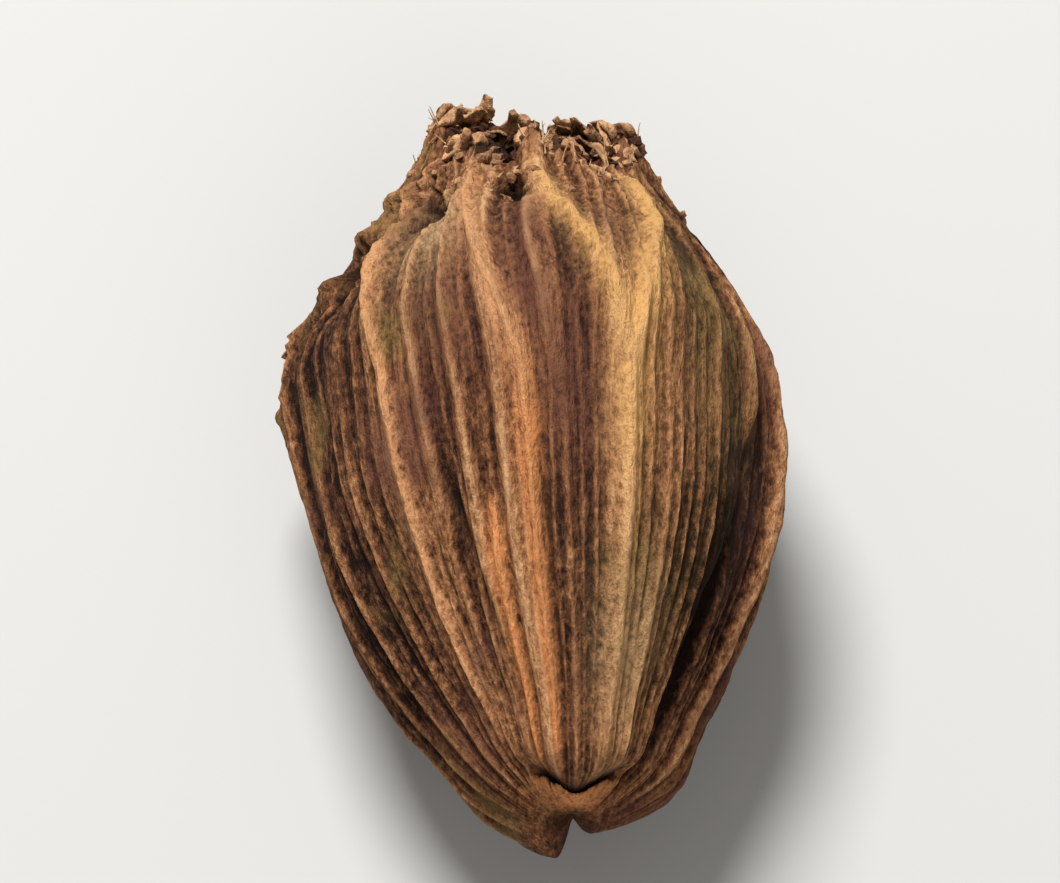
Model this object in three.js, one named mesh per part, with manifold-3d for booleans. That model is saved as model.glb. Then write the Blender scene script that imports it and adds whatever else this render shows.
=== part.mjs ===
// A dried black cardamom pod, lying on its side on a small flat spot.
// Millimetres, +Z up. The pod's long axis runs along Y: the stalk scar points to -Y and the
// withered flower end to +Y. The origin is under the middle of the pod, on the resting surface.
import * as THREE from "three";
import { mergeVertices } from "three/addons/utils/BufferGeometryUtils.js";
import Module from "manifold-3d";

// Driving dimensions of the husk, in millimetres.
const HUSK_LENGTH = 34; // stalk scar to the collar of the withered flower end
const HUSK_WIDTH = 21.1; // across the broadest part, between ribs
const HUSK_HEIGHT = 18.6; // at the broadest part, before the resting side is pressed flat
const FLAT_DEPTH = 0.8; // how far the resting side is pressed flat
const SCAR_RADIUS = 0.9; // the rough spot where the pod left its flower spike
const SCAR_DEPTH = 0.25; // how far its middle is sunk
const PIT_DEPTH = 2.2; // the hollow inside the collar

// Form of the husk: shares of its length, shares of its radius, and angles round its axis.
// Angles start at +X and turn through +Z, so 90 degrees is the top of the lying pod.
const BROADEST_AT = 0.61; // share of the length from the scar
const SCAR_POINTEDNESS = 0.65; // half is an ellipse, more is more pointed
const COLLAR_SHARE = 0.4; // collar radius as a share of the broadest radius
const COLLAR_ROUNDING = 0.12; // how gently the taper to the collar begins: 0 begins it with a corner
const VALVES = 3; // the husk is three valves grown together
const FRONT_VALVE = degrees(72); // middle of the uppermost valve
const VALVE_SWELL = 0.03; // how far each valve swells, as a share of the radius
const VALVE_SWELL_AT_SCAR = 0.07; // and how much more the furrows deepen towards the scar
const VALVE_PARTING = { from: 0.02, to: 0.42 }; // over this stretch from the scar
const AXIS_LEAN = 2.4; // sideways lean of the axis from scar to collar
const NECK_BEND = { from: 0.6, to: 1, reach: 0.8 }; // the axis bends back below the collar

// The collar: its upper edge ends before its middle, and its -X edge reaches past it.
const COLLAR_TILT = 2.6;
const COLLAR_SKEW = 0.4;
const COLLAR_SLANT = { from: 0.72, to: 1 }; // the stretch that the slant grows over
const RIM_TOOTH = 0.75; // how far the collar's torn edge rises and falls
const RIM_TORN = { from: 0.93, to: 1 };

// Even ribbing: narrow ridges with wider hollows. The ribs part on the upper side near the collar.
const RIB_COUNT = 26;
const RIB_HEIGHT = 0.62; // a strong rib's top above the hollow beside it
const RIB_SHARPNESS = 1.5; // 1 is a plain wave, more is narrower
const RIB_SINK = 0.4; // share of a rib's height that lies below the smooth form
const RIB_PARTING = { angle: degrees(84), spread: 0.35, width: 0.75, sharpness: 4, from: 0.5, to: 1 };
const RIBS_RISE = { from: 0.005, to: 0.07 }; // the stretch over which the ribs rise from the scar
const RIBS_FLATTEN = { from: 0.85, to: 1 }; // and the one where they sink to half near the collar

// Waves that make the ribs and the torn rim uneven: their size, how many there are in a turn, how
// they drift along the length, and where they start.
const RIB_WANDER = [
  { size: 0.07, turns: 2, drift: 0, phase: 1.1 },
  { size: 0.03, turns: 5, drift: 5, phase: 0 },
];
const RIB_STRENGTH = 0.6;
const RIB_LEAST_STRENGTH = 0.15;
const RIB_STRENGTH_WAVES = [
  { size: 0.25, turns: 4, drift: 0, phase: 0.9 },
  { size: 0.2, turns: 7, drift: -6, phase: 2.2 },
];
const RIM_TEETH = [
  { size: 1, turns: 5, drift: 0, phase: 0.4 },
  { size: 0.7, turns: 11, drift: 0, phase: 2.1 },
  { size: 0.5, turns: 17, drift: 0, phase: 0 },
];

// Broad, shallow dents where the husk sank as it dried: a wave round it times one along it.
const DRIED_DENT = 0.22;
const DRIED_WAVE = [{ size: 1, turns: 3, drift: 7, phase: 0.6 }];
const DRIED_WAVE_ALONG = [{ size: 1, turns: 0, drift: 9, phase: 1.2 }];
const DRIED_STRETCH = { from: 0.08, to: 0.3 };

// The slit at the scar, and the upper valve's blunt end, which swells over it and overhangs it.
const SLIT = { from: 0.03, to: 0.042, edge: 0.006, angle: degrees(84), halfAngle: degrees(42), depth: 1.3 };
const TONGUE = { along: 0.058, spread: 0.034, angle: degrees(78), halfAngle: degrees(42) };
const TONGUE_SWELL = 0.55;
const TONGUE_OVERHANG = 1;

// The slit curls: its ends lie farther from the scar than its middle does.
const SLIT_CURL = 0.016;
const CURL_RISE = { from: 0.012, to: 0.03 };
const CURL_FALL = { from: 0.05, to: 0.25 };

// Lips: the two lower valves reach past the slit at the scar, with a notch between them.
const LIP_STRETCH = { from: 0.01, to: 0.13 };
const LIPS = [
  { angle: degrees(221), halfAngle: degrees(38), reach: 1.6 },
  { angle: degrees(342), halfAngle: degrees(36), reach: 0.5 },
  { angle: degrees(280), halfAngle: degrees(15), reach: -0.6 },
];

// The +X valve's end is rounded.
const ROUNDED_END = { along: 0.075, spread: 0.05, angle: degrees(345), halfAngle: degrees(32) };
const ROUNDED_END_SWELL = 0.9;

// Hollows: three crevices between the larger wing and the upper ribs, and a shallow one in the fork
// of the uppermost rib.
const HOLLOWS = [
  { along: 0.75, spread: 0.045, angle: degrees(157), halfAngle: degrees(7), depth: 1.6 },
  { along: 0.836, spread: 0.045, angle: degrees(136), halfAngle: degrees(8), depth: 1.6 },
  { along: 0.9, spread: 0.035, angle: degrees(103), halfAngle: degrees(10), depth: 1.4 },
  { along: 0.8, spread: 0.1, angle: degrees(63), halfAngle: degrees(7), depth: 0.5 },
];

// Strong ribs that stand out of the even ribbing, and furrows sunk between the valves. Each runs
// over part of the length, and swings from its angle near the scar to its angle near the collar.
const LINE_FADE = { before: 0.08, after: 0.04, end: 0.1 };
const RIB_SWING = { from: 0.45, to: 1 };
const BOLD_RIBS = [
  { scar: degrees(67), collar: degrees(53), width: 0.1, height: 0.5, from: 0.1, to: 0.99 },
  { scar: degrees(67), collar: degrees(87), width: 0.07, height: 0.5, from: 0.6, to: 0.99 },
  { scar: degrees(96), collar: degrees(109), width: 0.06, height: 0.55, from: 0.1, to: 0.99 },
  { scar: degrees(110), collar: degrees(115), width: 0.06, height: 0.45, from: 0.08, to: 0.38 },
  { scar: degrees(134), collar: degrees(147), width: 0.06, height: 0.5, from: 0.12, to: 0.95 },
  { scar: degrees(12), collar: degrees(15), width: 0.075, height: 0.45, from: 0.1, to: 0.9 },
  { scar: degrees(214), collar: degrees(206), width: 0.075, height: 0.45, from: 0.12, to: 0.95 },
  { scar: degrees(322), collar: degrees(328), width: 0.075, height: 0.45, from: 0.1, to: 0.9 },
];
const FURROW_SWING = { from: 0.05, to: 0.45 };
const FURROWS = [
  { scar: degrees(34), collar: degrees(25), width: 0.11, height: -0.7, from: 0.06, to: 0.55 },
  { scar: degrees(113), collar: degrees(122), width: 0.08, height: -0.4, from: 0.06, to: 0.45 },
  { scar: degrees(264), collar: degrees(268), width: 0.12, height: -0.6, from: 0.06, to: 0.45 },
];

// Wings: crinkled fins up the shoulders, with a wavy, toothed edge. They swing as the bold ribs do.
const WINGS = [
  { scar: degrees(200), collar: degrees(144), width: 0.1, height: 1.0, from: 0.62, waves: 15 },
  { scar: degrees(358), collar: degrees(352), width: 0.1, height: 0.4, from: 0.66, waves: 17 },
];
const WING_TOOTH = 0.28; // a tooth's height as a share of the wing's
const WING_SWAY = 0.06; // how far the edge sways to either side, in radians
const WING_SWAY_WAVES = 2.3; // sways in the length, for each tooth
const WING_RISE = { before: 0.08, after: 0.06 };
const WING_SINK = { from: 0.9, to: 1, share: 0.4 };

// Withered shreds of the flower, crumpled round the collar.
const SHRED_COUNT = 14;
const SHRED = { length: 1.3, width: 2.7, thickness: 0.8, rootDepth: 1.8, sections: 6, crumple: 0.45 };
const SHRED_SEED = 7;
const SHRED_ROOT_SHARE = 0.35; // share of a shred's sections that stay straight
const SHRED_NARROWING = 0.75; // of its width at the tip
const SHRED_THINNING = 0.55; // of its thickness at the tip

// Fineness of the husk's surface.
const AROUND = 120;
const RINGS = 32; // besides those at the slit's edges
const RING_EASING = 0.55; // how strongly the rings draw together towards both ends
const PIT_RINGS = [0.72, 0.4]; // rings inside the collar, as shares of the rim's radius

const HUSK_COLOUR = 0x5a3b24;

function degrees(angle) {
  return (angle * Math.PI) / 180;
}

function smoothStep(low, high, value) {
  return THREE.MathUtils.smoothstep(value, low, high);
}

// How much of a stretch of the length lies behind a place: 0 before it, 1 past it.
function passed({ from, to }, along) {
  return smoothStep(from, to, along);
}

// The turn from one angle to another, between minus and plus half a turn.
function turnBetween(angle, centre) {
  return Math.atan2(Math.sin(angle - centre), Math.cos(angle - centre));
}

function bell(offset, width) {
  return Math.exp(-((offset / width) ** 2));
}

function waves(list, along, angle) {
  return list.reduce((sum, { size, turns, drift, phase }) => {
    return sum + size * Math.sin(turns * angle + drift * along + phase);
  }, 0);
}

// Random draws in a fixed order, the same on every run.
function seededDraws(seed) {
  let state = seed;
  return (low, high) => {
    state = (state * 16807) % 2147483647;
    return low + (high - low) * (state / 2147483647);
  };
}

// The husk's radius along its length, as a share of the broadest.
function girth(along) {
  if (along < BROADEST_AT) {
    const towardsScar = (BROADEST_AT - along) / BROADEST_AT;
    return (1 - towardsScar ** 2) ** SCAR_POINTEDNESS;
  }
  const towardsCollar = (along - BROADEST_AT) / (1 - BROADEST_AT);
  return 1 - ((1 - COLLAR_SHARE) * softBend(towardsCollar)) / softBend(1);
}

// Starts level and soon runs straight.
function softBend(value) {
  return Math.hypot(value, COLLAR_ROUNDING) - COLLAR_ROUNDING;
}

// The section's radius: an oval that swells at each valve, with furrows between them.
function sectionRadius(along, angle) {
  const oval = 1 / Math.hypot(Math.cos(angle) / (HUSK_WIDTH / 2), Math.sin(angle) / (HUSK_HEIGHT / 2));
  const swell = VALVE_SWELL + VALVE_SWELL_AT_SCAR * (1 - passed(VALVE_PARTING, along));
  return oval * girth(along) * (1 + swell * Math.cos(VALVES * (angle - FRONT_VALVE)));
}

// A rib keeps its own angle from the scar to the broadest part, and then swings aside, so that
// the ribs part on the upper side near the collar. Gives the angle round the axis.
function swungAngle(along, rib) {
  const { angle, spread, width, sharpness } = RIB_PARTING;
  const turn = turnBetween(rib, angle);
  return rib + spread * Math.atan(sharpness * turn) * bell(turn, width) * passed(RIB_PARTING, along);
}

function evenRibs(along, rib) {
  const wander = waves(RIB_WANDER, along, rib);
  const ridge = (0.5 + 0.5 * Math.cos(RIB_COUNT * (rib + wander))) ** RIB_SHARPNESS;
  const strength = Math.max(RIB_STRENGTH + waves(RIB_STRENGTH_WAVES, along, rib), RIB_LEAST_STRENGTH);
  const fade = passed(RIBS_RISE, along) * (1 - 0.5 * passed(RIBS_FLATTEN, along));
  return RIB_HEIGHT * strength * (ridge - RIB_SINK) * fade;
}

function swungPath({ scar, collar }, swing, along) {
  return scar + (collar - scar) * passed(swing, along);
}

function boldRib(bold, swing, along, rib) {
  const { width, height, from, to } = bold;
  const offset = turnBetween(rib, swungPath(bold, swing, along));
  const begins = smoothStep(from - LINE_FADE.before, from + LINE_FADE.after, along);
  const ends = smoothStep(to - LINE_FADE.end, to, along);
  return height * bell(offset, width) * begins * (1 - ends);
}

function wing(fin, along, angle) {
  const sway = WING_SWAY * Math.sin(fin.waves * WING_SWAY_WAVES * along);
  const teeth = 1 - WING_TOOTH + WING_TOOTH * Math.sin(2 * Math.PI * fin.waves * along);
  const rise = smoothStep(fin.from - WING_RISE.before, fin.from + WING_RISE.after, along);
  const sink = 1 - WING_SINK.share * passed(WING_SINK, along);
  const offset = turnBetween(angle, swungPath(fin, RIB_SWING, along));
  return fin.height * teeth * rise * sink * bell(offset + sway, fin.width);
}

function driedDents(along, angle) {
  const broad = DRIED_DENT * waves(DRIED_WAVE, along, angle) * waves(DRIED_WAVE_ALONG, along, angle);
  return broad * passed(DRIED_STRETCH, along) * (1 - passed(RIBS_FLATTEN, along));
}

// A soft-edged spot on the husk: 1 in its middle, nothing well outside it.
function spot({ along: place, spread, angle: centre, halfAngle }, along, angle) {
  return bell(turnBetween(angle, centre), halfAngle) * bell(along - place, spread);
}

// Near the scar the rings of the surface curl with the slit. Gives the place along the husk of a
// point of a ring.
function curled(ring, angle) {
  const aside = turnBetween(angle, SLIT.angle) / SLIT.halfAngle;
  const near = passed(CURL_RISE, ring) * (1 - passed(CURL_FALL, ring));
  return ring + SLIT_CURL * near * Math.E * aside ** 2 * bell(aside, 1);
}

// The slit has steep sides and an even depth between them.
function slitDepth(ring, angle) {
  const aside = turnBetween(angle, SLIT.angle) / SLIT.halfAngle;
  const begins = smoothStep(SLIT.from - SLIT.edge, SLIT.from + SLIT.edge, ring);
  const ends = smoothStep(SLIT.to, SLIT.to + SLIT.edge, ring);
  return SLIT.depth * bell(aside ** 2, 1) * begins * (1 - ends);
}

// How far the lower valves' lips reach past the scar, and the notch between them falls short of it.
function lipReach(along, angle) {
  const reaches = LIPS.map((lip) => lip.reach * bell(turnBetween(angle, lip.angle), lip.halfAngle));
  return (1 - passed(LIP_STRETCH, along)) * reaches.reduce((sum, reach) => sum + reach, 0);
}

function collarSlant(angle) {
  return COLLAR_TILT * Math.sin(angle) + COLLAR_SKEW * Math.cos(angle);
}

// The collar's slant, with its torn edge.
function collarShift(along, angle) {
  const torn = RIM_TOOTH * waves(RIM_TEETH, along, angle) * passed(RIM_TORN, along);
  return torn - collarSlant(angle) * passed(COLLAR_SLANT, along);
}

function axisPoint(along, shift = 0) {
  const aside = AXIS_LEAN * (0.5 - along) + NECK_BEND.reach * passed(NECK_BEND, along);
  return new THREE.Vector3(aside, HUSK_LENGTH * along + shift, 0);
}

function outward(angle, radius) {
  return new THREE.Vector3(radius * Math.cos(angle), 0, radius * Math.sin(angle));
}

function huskRadius(ring, rib) {
  const angle = swungAngle(ring, rib);
  const along = curled(ring, angle);
  const relief = [
    evenRibs(along, rib),
    driedDents(along, angle),
    ...BOLD_RIBS.map((bold) => boldRib(bold, RIB_SWING, along, rib)),
    ...FURROWS.map((furrow) => boldRib(furrow, FURROW_SWING, along, rib)),
    ...WINGS.map((fin) => wing(fin, along, angle)),
    ...HOLLOWS.map((hollow) => -hollow.depth * spot(hollow, along, angle)),
    ROUNDED_END_SWELL * spot(ROUNDED_END, along, angle),
    TONGUE_SWELL * spot(TONGUE, ring, angle),
    -slitDepth(ring, angle),
  ];
  return relief.reduce((radius, part) => radius + part, sectionRadius(along, angle));
}

function huskPoint(ring, rib) {
  const angle = swungAngle(ring, rib);
  const along = curled(ring, angle);
  const overhang = TONGUE_OVERHANG * spot(TONGUE, ring, angle);
  const shift = collarShift(along, angle) - lipReach(along, angle) - overhang;
  return axisPoint(along, shift).add(outward(angle, huskRadius(ring, rib)));
}

// A point in the hollow inside the collar: the floor is flat, and turns up steeply at the rim.
function pitPoint(share, rib) {
  const angle = swungAngle(1, rib);
  const floor = axisPoint(1, -PIT_DEPTH - collarSlant(angle) * share);
  const inside = floor.add(outward(angle, huskRadius(1, rib) * share));
  return inside.setY(THREE.MathUtils.lerp(inside.y, huskPoint(1, rib).y, share ** 4));
}

// Where along the husk the rings lie: closer together near both ends, and at the slit's edges.
function ringPlaces() {
  const start = scarAlong();
  const places = Array.from({ length: RINGS }, (_, index) => {
    const even = index / (RINGS - 1);
    const eased = (1 - Math.cos(Math.PI * even)) / 2;
    return start + (1 - start) * THREE.MathUtils.lerp(even, eased, RING_EASING);
  });
  const { from, to, edge } = SLIT;
  return [...places, from - edge, from + edge, to, to + edge].sort((a, b) => a - b);
}

// The place along the husk where its girth equals the scar's radius.
function scarAlong() {
  const share = SCAR_RADIUS / (HUSK_WIDTH / 2);
  return BROADEST_AT * (1 - Math.sqrt(1 - share ** (1 / SCAR_POINTEDNESS)));
}

// Joins rings of points, and a middle point at each end, into one closed surface.
function closedSurface(firstMiddle, rings, lastMiddle) {
  const points = [firstMiddle, ...rings.flat(), lastMiddle];
  const at = (ring, step) => 1 + ring * AROUND + (step % AROUND);
  const faces = [];
  for (let step = 0; step < AROUND; step++) {
    faces.push(0, at(0, step), at(0, step + 1));
    for (let ring = 0; ring < rings.length - 1; ring++) {
      faces.push(at(ring, step), at(ring + 1, step), at(ring + 1, step + 1));
      faces.push(at(ring, step), at(ring + 1, step + 1), at(ring, step + 1));
    }
    faces.push(at(rings.length - 1, step), points.length - 1, at(rings.length - 1, step + 1));
  }
  return new THREE.BufferGeometry().setFromPoints(points).setIndex(faces);
}

function huskGeometry() {
  const ribs = Array.from({ length: AROUND }, (_, step) => (2 * Math.PI * step) / AROUND);
  const outside = ringPlaces().map((ring) => ribs.map((rib) => huskPoint(ring, rib)));
  const inside = PIT_RINGS.map((share) => ribs.map((rib) => pitPoint(share, rib)));
  const scar = axisPoint(scarAlong(), SCAR_DEPTH);
  return closedSurface(scar, [...outside, ...inside], axisPoint(1, -PIT_DEPTH));
}

// One withered shred: a crumpled, tapering flap with its root sunk in the collar.
function shredGeometry(rib, draw) {
  const angle = swungAngle(1, rib);
  const length = SHRED.length * draw(0.7, 1.15);
  const width = SHRED.width * draw(0.7, 1.15);
  const lean = draw(-0.75, 0.45);
  const crumple = SHRED.crumple * draw(-1, 1);
  const side = new THREE.Vector3(-Math.sin(angle), 0, Math.cos(angle));
  const out = outward(angle, 1);
  const root = huskPoint(1, rib).addScaledVector(out, -0.6 * SHRED.thickness);
  const corners = [];
  for (let section = 0; section < SHRED.sections; section++) {
    const along = section / (SHRED.sections - 1);
    const above = Math.max(along - SHRED_ROOT_SHARE, 0) / (1 - SHRED_ROOT_SHARE);
    const middle = root
      .clone()
      .add(new THREE.Vector3(0, (length + SHRED.rootDepth) * along - SHRED.rootDepth, 0))
      .addScaledVector(out, length * above * Math.sin(lean) + crumple * above * Math.cos(Math.PI * section))
      .addScaledVector(side, crumple * above);
    const half = (width / 2) * (1 - SHRED_NARROWING * above ** 1.5);
    const depth = (SHRED.thickness / 2) * (1 - SHRED_THINNING * above);
    const skew = 0.5 * crumple * above;
    for (const [across, through] of [[-1, -1], [1, -1], [1, 1], [-1, 1]]) {
      const corner = middle.clone().addScaledVector(side, across * half);
      corners.push(corner.addScaledVector(out, through * depth + across * skew));
    }
  }
  return closedBar(corners, SHRED.sections);
}

// Joins four-cornered sections, one after another, into one closed bar.
function closedBar(corners, sections) {
  const faces = [0, 2, 1, 0, 3, 2];
  for (let section = 0; section < sections - 1; section++) {
    for (let corner = 0; corner < 4; corner++) {
      const [a, b] = [section * 4 + corner, section * 4 + ((corner + 1) % 4)];
      faces.push(a, b, b + 4, a, b + 4, a + 4);
    }
  }
  const last = (sections - 1) * 4;
  faces.push(last, last + 1, last + 2, last, last + 2, last + 3);
  return new THREE.BufferGeometry().setFromPoints(corners).setIndex(faces);
}

const wasm = await Module();
wasm.setup();

function solidOf(geometry) {
  const merged = mergeVertices(geometry);
  const solid = new wasm.Manifold(
    new wasm.Mesh({
      numProp: 3,
      vertProperties: new Float32Array(merged.attributes.position.array),
      triVerts: new Uint32Array(merged.index.array),
    }),
  );
  if (solid.volume() < 0) throw new Error("a surface is inside out");
  return solid;
}

function geometryOf(solid) {
  const { vertProperties, triVerts } = solid.getMesh();
  const geometry = new THREE.BufferGeometry();
  geometry.setAttribute("position", new THREE.BufferAttribute(vertProperties, 3));
  return geometry.setIndex(new THREE.BufferAttribute(triVerts, 1));
}

// The outer body alone: hollows that fusing sealed are filled, and loose scraps are dropped.
function outerBody(solid) {
  return solid.decompose().reduce((kept, body) => (body.volume() > kept.volume() ? body : kept));
}

// Everything below the flat spot's level, as one block to take away.
function belowFlatSpot() {
  const block = new THREE.BoxGeometry(HUSK_WIDTH * 2, HUSK_LENGTH * 3, HUSK_HEIGHT);
  block.deleteAttribute("normal");
  block.deleteAttribute("uv");
  return block.translate(0, HUSK_LENGTH / 2, FLAT_DEPTH - HUSK_HEIGHT);
}

function podGeometry() {
  const draw = seededDraws(SHRED_SEED);
  let pod = solidOf(huskGeometry());
  for (let index = 0; index < SHRED_COUNT; index++) {
    const rib = (2 * Math.PI * (index + draw(-0.3, 0.3))) / SHRED_COUNT;
    pod = pod.add(solidOf(shredGeometry(rib, draw)));
  }
  return geometryOf(outerBody(pod.subtract(solidOf(belowFlatSpot()))));
}

// Puts the middle of the pod over the origin, and the flat spot on the surface it rests on.
function restOnOrigin(geometry) {
  geometry.computeBoundingBox();
  const middle = geometry.boundingBox.getCenter(new THREE.Vector3());
  return geometry.translate(-middle.x, -middle.y, -geometry.boundingBox.min.z);
}

const pod = new THREE.Mesh(
  restOnOrigin(podGeometry()),
  new THREE.MeshStandardMaterial({ color: HUSK_COLOUR, roughness: 0.85, metalness: 0 }),
);
pod.name = "pod";

const cardamom = new THREE.Group();
cardamom.add(pod);

export default cardamom;
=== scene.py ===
# %% [markdown]
# # A dried black cardamom pod
# The pod is one grown piece: a dry, fibrous husk, ribbed from the stalk scar to the withered
# flower end, and lying on its side. The packed model gives its place, its size and its plain
# form. This lesson grows a finer husk from the same rule with Geometry Nodes, adds the torn
# shreds, crumbs and fibres that such a pod carries, and gives all of it a dry, matt finish.

# %% Load the packed pod
import math
from types import SimpleNamespace

import bpy
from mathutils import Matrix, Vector


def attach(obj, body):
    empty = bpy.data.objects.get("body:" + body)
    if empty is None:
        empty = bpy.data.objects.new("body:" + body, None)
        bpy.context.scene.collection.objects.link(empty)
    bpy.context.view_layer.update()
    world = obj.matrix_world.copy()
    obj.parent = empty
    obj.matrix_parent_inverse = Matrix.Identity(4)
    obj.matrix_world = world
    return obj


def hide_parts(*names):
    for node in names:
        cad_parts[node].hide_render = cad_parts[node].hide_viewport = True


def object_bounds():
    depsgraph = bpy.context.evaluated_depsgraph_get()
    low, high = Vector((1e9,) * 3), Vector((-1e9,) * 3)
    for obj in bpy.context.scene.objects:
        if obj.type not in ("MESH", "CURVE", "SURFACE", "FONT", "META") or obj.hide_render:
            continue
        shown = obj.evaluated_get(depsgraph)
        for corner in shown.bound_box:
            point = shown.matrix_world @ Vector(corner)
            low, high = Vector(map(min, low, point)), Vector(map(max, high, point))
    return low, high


MM = 0.001
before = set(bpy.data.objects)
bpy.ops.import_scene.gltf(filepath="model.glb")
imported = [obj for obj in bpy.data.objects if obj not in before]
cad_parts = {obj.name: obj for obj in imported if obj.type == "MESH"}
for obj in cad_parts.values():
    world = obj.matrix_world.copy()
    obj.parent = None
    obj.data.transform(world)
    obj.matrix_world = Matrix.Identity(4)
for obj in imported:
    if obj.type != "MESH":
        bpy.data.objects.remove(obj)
cad_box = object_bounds()
print("packed box in mm:", [round(side / MM, 2) for side in cad_box[1] - cad_box[0]])

# %% [markdown]
# ## Sums with nodes
# A rule such as "a ridge every few degrees" is a formula, and a node tree works a formula out at
# every point of a mesh at once. Wiring hundreds of Math nodes by hand is slow to read, so a small
# class stands for the number that comes out of a socket: adding two of them adds a Math node. The
# same class serves the materials later, because shader trees use the same Math node.


# %% A number that a node tree works out
class Sum:
    def __init__(self, socket):
        self.socket = socket
        self.tree = socket.id_data

    def __add__(self, other):
        return work_out("ADD", self, other)

    def __sub__(self, other):
        return work_out("SUBTRACT", self, other)

    def __mul__(self, other):
        return work_out("MULTIPLY", self, other)

    def __truediv__(self, other):
        return work_out("DIVIDE", self, other)

    def __pow__(self, other):
        return work_out("POWER", self, other)

    def __radd__(self, other):
        return work_out("ADD", other, self)

    def __rsub__(self, other):
        return work_out("SUBTRACT", other, self)

    def __rmul__(self, other):
        return work_out("MULTIPLY", other, self)

    def __rtruediv__(self, other):
        return work_out("DIVIDE", other, self)

    def __neg__(self):
        return work_out("MULTIPLY", self, -1.0)


print("a Sum knows", len([name for name in vars(Sum) if name.startswith("__")]), "methods")


# %% Nodes from plain values
def feed(slot, value):
    if isinstance(value, Sum):
        value.tree.links.new(value.socket, slot)
    else:
        slot.default_value = value


def add_node(tree, kind, feeds=(), **settings):
    node = tree.nodes.new(kind)
    for name, value in settings.items():
        setattr(node, name, value)
    for slot, value in dict(feeds).items():
        feed(node.inputs[slot], value)
    return node


def result(tree, kind, feeds=(), output=0, **settings):
    return Sum(add_node(tree, kind, feeds, **settings).outputs[output])


def work_out(operation, *values):
    tree = next(value.tree for value in values if isinstance(value, Sum))
    return result(tree, "ShaderNodeMath", enumerate(values), operation=operation)


scratch = bpy.data.node_groups.new("scratch", "GeometryNodeTree")
number = result(scratch, "ShaderNodeValue")
half_more = number + number * 0.5
print("half more than a number takes", len(half_more.tree.nodes) - 1, "Math nodes")
bpy.data.node_groups.remove(scratch)

# %% [markdown]
# ## Shapes of a curve
# A few shapes make up nearly all of the pod. A bell is a single ridge with soft sides. A smooth
# step starts or ends something along the pod without a kink. A turn is the angle between two
# directions round the pod, wrapped so that there is no seam where a full turn ends. Waves make
# what is even by rule uneven in a way that repeats on every run.


# %% Bells, steps, turns and waves
def sine(value):
    return work_out("SINE", value)


def cosine(value):
    return work_out("COSINE", value)


def root(value):
    return work_out("SQRT", value)


def limit(value, low=0.0, high=1.0):
    return work_out("MINIMUM", work_out("MAXIMUM", value, low), high)


def bell(offset, width):
    share = offset / width
    return work_out("EXPONENT", -(share * share))


def step(low, high, value):
    feeds = {"Value": value, "From Min": low, "From Max": high}
    return result(value.tree, "ShaderNodeMapRange", feeds, interpolation_type="SMOOTHSTEP")


def turn(angle, centre):
    return work_out("WRAP", angle - centre, math.pi, -math.pi)


def waves(lines, along, angle):
    return sum(size * sine(turns * angle + drift * along + phase) for size, turns, drift, phase in lines)


print("a bell falls to", round(math.exp(-1), 2), "at its width")

# %% [markdown]
# ## Grain
# Noise gives what grows without a rule: lumps, streaks and tears. Fibres run along the pod, so
# noise on a pod is mostly long and narrow. Giving each noise the width and the length of its lumps
# in millimetres keeps it true to size, and an own seed keeps two noises from looking alike.


# %% Vectors and noise
def vector(tree, x, y, z):
    return result(tree, "ShaderNodeCombineXYZ", {"X": x, "Y": y, "Z": z})


def parts(value):
    node = add_node(value.tree, "ShaderNodeSeparateXYZ", {0: value})
    return [Sum(socket) for socket in node.outputs]


def stretch(place, x, y, z):
    return result(place.tree, "ShaderNodeVectorMath", {0: place, 1: (x, y, z)}, operation="MULTIPLY")


def lumps(place, wide, long, seed, detail=3.0, roughness=0.6):
    lump = stretch(place, 1 / wide, 1 / long, 1 / wide)
    feeds = {"Vector": lump, "W": seed, "Scale": 1.0, "Detail": detail, "Roughness": roughness}
    return result(place.tree, "ShaderNodeTexNoise", feeds, noise_dimensions="4D") - 0.5


print("noise runs from about -0.5 to 0.5, and is 0 on average")

# %% [markdown]
# ## The husk's sizes
# These are the sizes of the packed solid, in millimetres, so the fine husk has the same form. An
# angle of 0 points to +X and 90 degrees to the top of the lying pod. A place along the pod is a
# share of its length, from 0 at the stalk scar to 1 at the collar of the withered flower.

# %% Sizes of the husk
HUSK = {
    "Length": 34.0,
    "Width": 21.1,
    "Height": 18.6,
    "Flat depth": 0.8,
    "Scar radius": 0.9,
    "Scar depth": 0.25,
    "Broadest at": 0.61,
    "Scar pointedness": 0.65,
    "Collar share": 0.4,
    "Collar rounding": 0.12,
    "Collar tilt": 2.6,
    "Collar skew": 0.4,
    "Rim tooth": 0.75,
    "Pit depth": 2.2,
    "Valve swell": 0.03,
    "Valve swell at scar": 0.07,
    "Axis lean": 2.4,
    "Neck bend": 0.8,
    "Rib count": 26,
    "Rib height": 0.62,
    "Rib spread": 0.35,
    "Rib waver": 0.1,
    "Fine line height": 0.36,
    "Crinkle height": 0.7,
    "Crumple height": 0.9,
    "Middle X": -0.561,
    "Middle Y": 18.475,
    "Seed": 4.0,
}
print("husk of", HUSK["Length"], "by", HUSK["Width"], "by", HUSK["Height"] - HUSK["Flat depth"], "mm")

# %% [markdown]
# ## The husk's smooth form
# Without its ribs the husk is an oval tube. Its girth grows from a blunt point at the scar to the
# broadest part, and then falls to the collar. Three valves swell out of it, with furrows between
# them that deepen towards the scar. Near the collar the ribs part on the upper side, so the angle
# round the axis is the rib's own angle with a swing added to it.

# %% Girth, valves and the parting of the ribs
VALVES = 3
FRONT_VALVE = math.radians(72)
VALVE_PARTING = (0.02, 0.42)
RIB_PARTING = SimpleNamespace(angle=math.radians(84), width=0.75, sharpness=4.0, stretch=(0.5, 1.0))


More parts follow.
